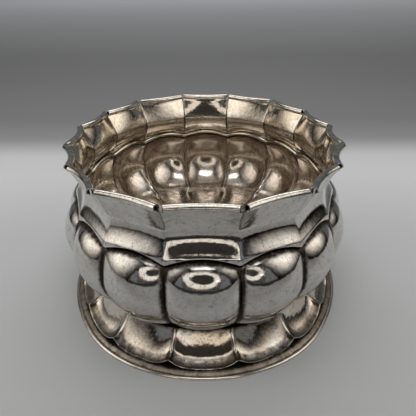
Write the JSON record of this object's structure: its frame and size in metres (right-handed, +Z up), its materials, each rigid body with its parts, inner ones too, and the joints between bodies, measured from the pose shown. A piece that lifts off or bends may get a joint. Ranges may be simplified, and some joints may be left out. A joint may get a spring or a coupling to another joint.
{
  "type": "sugar bowl",
  "caption": "Oval hand-raised silver sugar bowl with a pillow-lobed body, a fluted flared collar with a rolled rim, and a lobed spreading foot on a wired flange.",
  "frame": {"origin": "on the surface that the bowl stands on, under the centre of the oval", "axes": "+Z up through the mouth, +Y along the oval's long axis, +X across it; a lobe faces along each of -Y, +Y, -X and +X"},
  "size_m": [0.122, 0.1568, 0.0664],
  "materials": {
    "silver_body": "planished silver, polished, with dark toning in the creases and warm toning inside",
    "silver_collar": "planished silver, polished, with warm toning inside and along the ridges",
    "silver_rim": "bright worn silver, dark inside the rolls",
    "silver_foot": "planished silver with brown toning in the hollows and bright edges",
    "silver_flange": "brown-toned silver, lightly scratched",
    "silver_wire": "bright worn silver"
  },
  "bodies": {
    "root": {"bowl_body": "silver_body", "collar": "silver_collar", "rim_roll_01": "silver_rim", "rim_roll_02": "silver_rim", "rim_roll_03": "silver_rim", "rim_roll_04": "silver_rim", "rim_roll_05": "silver_rim", "rim_roll_06": "silver_rim", "rim_roll_07": "silver_rim", "rim_roll_08": "silver_rim", "rim_roll_09": "silver_rim", "rim_roll_10": "silver_rim", "rim_roll_11": "silver_rim", "rim_roll_12": "silver_rim", "rim_roll_13": "silver_rim", "rim_roll_14": "silver_rim", "rim_roll_15": "silver_rim", "rim_roll_16": "silver_rim", "foot": "silver_foot", "foot_flange": "silver_flange", "foot_wire": "silver_wire"}
  },
  "joints": []
}
